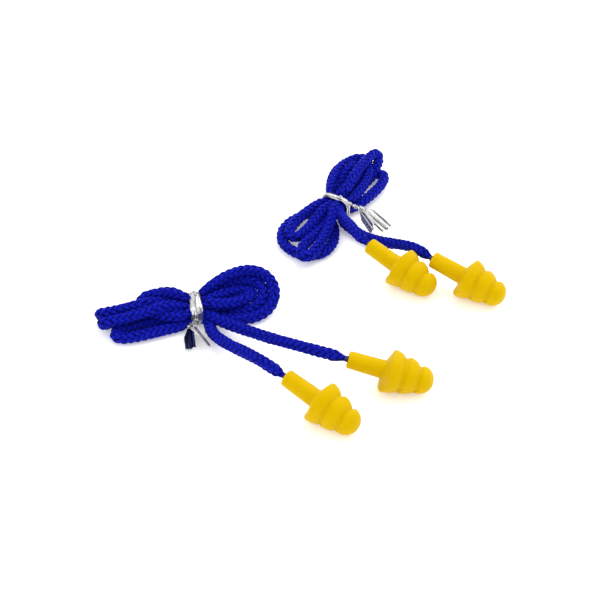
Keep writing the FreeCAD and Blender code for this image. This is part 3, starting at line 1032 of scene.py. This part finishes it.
def stripFrame(origin, heading, pitch, roll=0.0):
    turn = Matrix.Rotation(math.radians(heading), 4, "Z")
    dip = Matrix.Rotation(math.radians(-pitch), 4, "Y")
    return Matrix.Translation(origin) @ turn @ dip @ Matrix.Rotation(math.radians(roll), 4, "X")


def knotPlace(pairName, hank):
    knot = ties["knots"][pairName]
    heading = math.radians(hank["heading"])
    side = Vector((math.sin(heading), -math.cos(heading), 0))
    start = Vector((*hank["tie"], knot["height"])) + side * ties["reach"]
    start += Vector((math.cos(heading), math.sin(heading), 0)) * knot["along"]
    return stripFrame(start, knot["heading"], knot["pitch"]), knot["length"]


def makeTwist(pairName, hank, seed):
    # the two ends twisted round each other, from the band to the tails
    knot, length = knotPlace(pairName, hank)
    start = tieFrame(hank) @ Vector(ties["twistStart"][pairName])
    bend = knot @ Vector(ties["twistBend"])
    end = knot @ Vector((length + ties["twistPast"], 0, 0))
    rings, size = ties["twistRings"], ties["twistPoints"]
    streaks, streaksAlong = ties["twistStreaks"]
    shares = np.linspace(0, 1, rings)
    t = shares[:, None]
    line = (1 - t) ** 2 * np.array(start) + 2 * t * (1 - t) * np.array(bend)
    line = line + t ** 2 * np.array(end)
    side, up = carriedFrame(line)[1:]
    points, places = [], []
    for number, share in enumerate(shares):
        turn = share * ties["twistTurns"] * 2 * math.pi
        for angle in ringAngles(size):
            over, beside = math.cos(angle), math.sin(angle)
            rough = 1 + 0.5 * crumple(over * 1.6 + seed, beside * 1.6, share * 5.0)
            rough *= 1.0 - 0.2 * math.sin(share * math.pi)
            y = over * ties["twistHalf"][0] * rough
            z = beside * ties["twistHalf"][1] * rough
            points.append(line[number] + side[number] * (y * math.cos(turn) - z * math.sin(turn))
                          + up[number] * (y * math.sin(turn) + z * math.cos(turn)))
            places.append((share * streaksAlong + seed, over * streaks, beside * streaks))
    faces = ringFaces(rings, size) + endCaps(rings, size)
    addFoil(pairName, "twist", f"{pairName}_tie_twist", f"{pairName}_hank", points, faces, places,
            materials["film"], smooth=False)


def makeTail(pairName, hank, side, seed):
    # a flat end of the tie, creased along its length over the wire
    tail = ties["tails"][f"{pairName}_{side}"]
    knot, length = knotPlace(pairName, hank)
    heading = math.radians(tail["heading"])
    start = knot @ Vector((length, 0, 0))
    start += Vector((math.cos(heading), math.sin(heading), 0)) * ties["tailGap"]
    start += Vector((-math.sin(heading), math.cos(heading), 0)) * tail["offset"]
    toWorld = stripFrame(start, tail["heading"], tail["pitch"], tail["roll"])
    rows, columns = ties["tailRows"], ties["tailColumns"]
    full = tail["length"] - ties["tailShort"]
    folds, foldsAlong = ties["tailFolds"]
    streaks, streaksAlong = ties["tailStreaks"]
    points, places = [], []
    for share in np.linspace(0, 1, rows):
        for inside, k in stripOrder(columns):
            across = k / (columns - 1) * 2 - 1
            cut = tail["cut"] * across * ties["cornerCut"] - ties["endBow"]
            along = share * (full + cut * share ** 3)
            opened = min(along / ties["tailTaper"], 1.0)
            half = (ties["tailRoot"] + (ties["width"] - ties["tailRoot"]) * opened) / 2
            half *= 1 + 0.05 * noise.noise(Vector((along * 500, seed, across)))
            y = across * half
            crease = ties["tailCrease"] * math.sin(across * 8.5 + seed) * opened
            ridge = crumple(along * foldsAlong + seed, across * folds, seed)
            crease += ties["crumple"] * 0.7 * ridge
            crease *= min(abs(across) * 2.5, 1.0)
            bulge = ties["wireBulge"] * math.exp(-(y / ties["wireBulgeHalf"]) ** 2)
            face = 1 - 2 * inside
            height = crease + face * (ties["thickness"] / 2 + bulge)
            points.append(toWorld @ Vector((along, y, height)))
            places.append((along * streaksAlong + seed, across * streaks, seed * 0.7 + face * 0.15))
    faces = ringFaces(rows, columns * 2) + endCaps(rows, columns * 2)
    body = f"{pairName}_tie_{side}_tail"
    addFoil(pairName, f"{side}_tail", body, body, points, faces, places, materials[tail["film"]])


for number, (pairName, hank) in enumerate(hanks.items()):
    # the last value only makes each piece's creases its own
    makeBand(pairName, hank, 3.7 + number * 5.1)
    makeTwist(pairName, hank, 1.9 + number * 3.3)
    for step, side in enumerate(("near", "far")):
        makeTail(pairName, hank, side, 2.3 + number * 4.7 + step * 1.9)
print("ties finished")

# carried-over parts
for nodeName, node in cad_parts.items():
    if nodeName.endswith("_cord_end"):
        finish = materials["fused"]
    elif nodeName.endswith("_core"):
        finish = materials["wire"]
    else:
        continue
    for slot in node.material_slots:
        slot.material = finish
print("carried-over parts finished")

# floor and studio light
studio = {
    "floor": {
        "light": (0.97, 0.97, 0.97, 1),
        "dark": (0.88, 0.88, 0.88, 1),
        "patches": 6.0,
        "grains": 900.0,
        "contrast": 0.3,
        "glow": 0.24,  # painted light: the floor glows though it is no lamp, so shadows on it stay faint
        "roughness": 0.9,
        "half": 2.0,
    },
    "worldTone": (1.0, 1.0, 1.0, 1),
    "worldStrength": 1.05,
    "key": {"place": (0.25, 0.35, 0.60), "size": 0.70, "power": 3.6},
    "fill": {"place": (-0.45, -0.25, 0.45), "size": 0.60, "power": 0.8},
}


def makeFloor():
    material, nodes, links, shader = newMaterial("paleFloor")
    tone = useUnevenTone(nodes, studio["floor"])
    links.new(tone.outputs["Color"], shader.inputs["Base Color"])
    shader.inputs["Roughness"].default_value = studio["floor"]["roughness"]
    shader.inputs["Emission Color"].default_value = studio["worldTone"]
    shader.inputs["Emission Strength"].default_value = studio["floor"]["glow"]
    half = studio["floor"]["half"]
    corners = [(-half, -half, 0), (half, -half, 0), (half, half, 0), (-half, half, 0)]
    floor = addPiece("floor", corners, [(0, 1, 2, 3)], material, smooth=False)


def makeLight(name, setup):
    data = bpy.data.lights.new(name, "AREA")
    data.size = setup["size"]
    data.energy = setup["power"]
    light = bpy.data.objects.new(name, data)
    light.location = setup["place"]
    light.rotation_euler = (-Vector(setup["place"])).to_track_quat("-Z", "Y").to_euler()
    bpy.context.scene.collection.objects.link(light)


def makeWorld():
    world = bpy.data.worlds.new("studioWorld")
    world.use_nodes = True
    background = world.node_tree.nodes["Background"]
    background.inputs["Color"].default_value = studio["worldTone"]
    background.inputs["Strength"].default_value = studio["worldStrength"]
    bpy.context.scene.world = world
    bpy.context.scene.view_settings.view_transform = "Standard"
    bpy.context.scene.view_settings.look = "None"


makeFloor()
makeLight("keyLight", studio["key"])
makeLight("fillLight", studio["fill"])
makeWorld()
print("studio ready")
